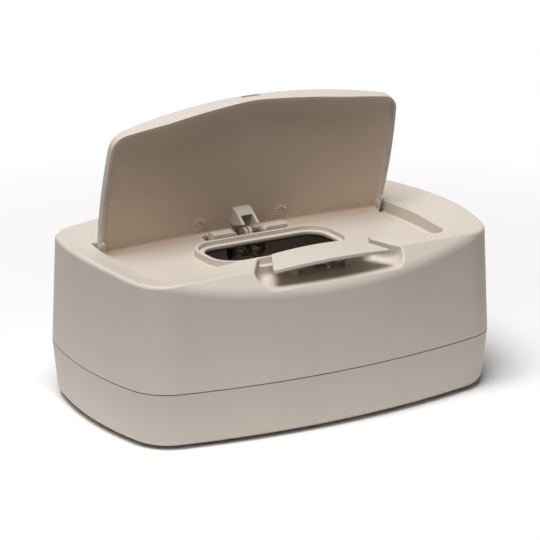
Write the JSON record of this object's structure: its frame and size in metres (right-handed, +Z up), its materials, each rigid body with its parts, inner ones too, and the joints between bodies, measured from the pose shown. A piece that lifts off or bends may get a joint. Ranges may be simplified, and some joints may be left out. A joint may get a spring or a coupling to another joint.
{
  "type": "baby wipes box",
  "caption": "Free-standing wipes dispenser with a base tray, a lift-off housing and a sprung, latched lid over a dispensing throat.",
  "frame": {"origin": "on the table under the middle of the box", "axes": "+X to the right along the long side, -Y towards the release lever at the front, +Z up"},
  "size_m": [0.236, 0.1504, 0.1637],
  "materials": {
    "body": "fine satin-matte moulded taupe plastic",
    "lip": "slightly paler soft moulded plastic",
    "feet": "matte non-slip pads",
    "pins": "ground steel rod",
    "springs": "drawn spring wire"
  },
  "bodies": {
    "tray": {"base_tray": "body", "feet": "feet"},
    "housing": {"upper_housing": "body", "throat_insert": "lip", "hinge_block_left": "body", "hinge_block_right": "body", "lid_spring": "springs", "spring_pin": "pins", "lever_pin": "pins", "lever_spring": "springs"},
    "lid": {"lid": "body", "lid_bracket": "body", "hinge_pin_left": "pins", "hinge_pin_right": "pins"},
    "lever": {"release_lever": "body"}
  },
  "joints": [
    {"name": "housing_lift", "type": "slide", "parent": "tray", "child": "housing", "axis": [0, 0, 1], "range_m": [0, 0.08]},
    {"name": "lid_hinge", "type": "hinge", "parent": "housing", "child": "lid", "pos_m": [0, 0.032, 0.0859], "axis": [1, 0, 0], "range_deg": [0, 75.9], "stiffness_Nm_per_rad": 0.02, "springref_deg": -17.19},
    {"name": "lever_press", "type": "hinge", "parent": "housing", "child": "lever", "pos_m": [0, -0.0518, 0.0876], "axis": [1, 0, 0], "range_deg": [0, 8], "stiffness_Nm_per_rad": 0.05, "springref_deg": -5.73}
  ]
}
